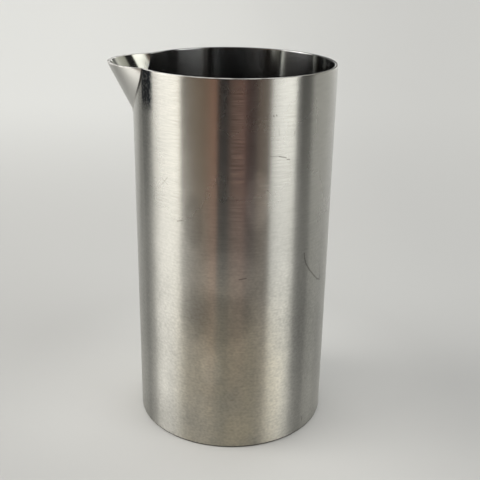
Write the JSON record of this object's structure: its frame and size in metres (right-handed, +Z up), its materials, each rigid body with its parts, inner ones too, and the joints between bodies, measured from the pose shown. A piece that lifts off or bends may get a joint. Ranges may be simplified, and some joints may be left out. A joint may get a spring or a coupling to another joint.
{
  "type": "creamer",
  "caption": "Small straight-sided cylindrical creamer in brushed steel, open at the top, with a conical pouring spout let into the rim and no handle or lid.",
  "frame": {"origin": "middle of the flat standing face under the base, on the axis of the body", "axes": "+Z up along the body's axis, -X towards the spout's tip, +Y across"},
  "size_m": [0.0559, 0.05, 0.0944],
  "materials": {
    "body_steel": "stainless steel, brushed round the outside, satin polished inside, bright polished rim",
    "base_steel": "stainless steel, turned in fine rings",
    "spout_steel": "stainless steel, satin polished inside and out, bright polished rim",
    "solder": "dull silver solder, scraped close"
  },
  "bodies": {
    "root": {"body_tube": "body_steel", "base_pan": "base_steel", "base_solder": "solder", "spout": "spout_steel", "spout_solder": "solder"}
  },
  "joints": []
}
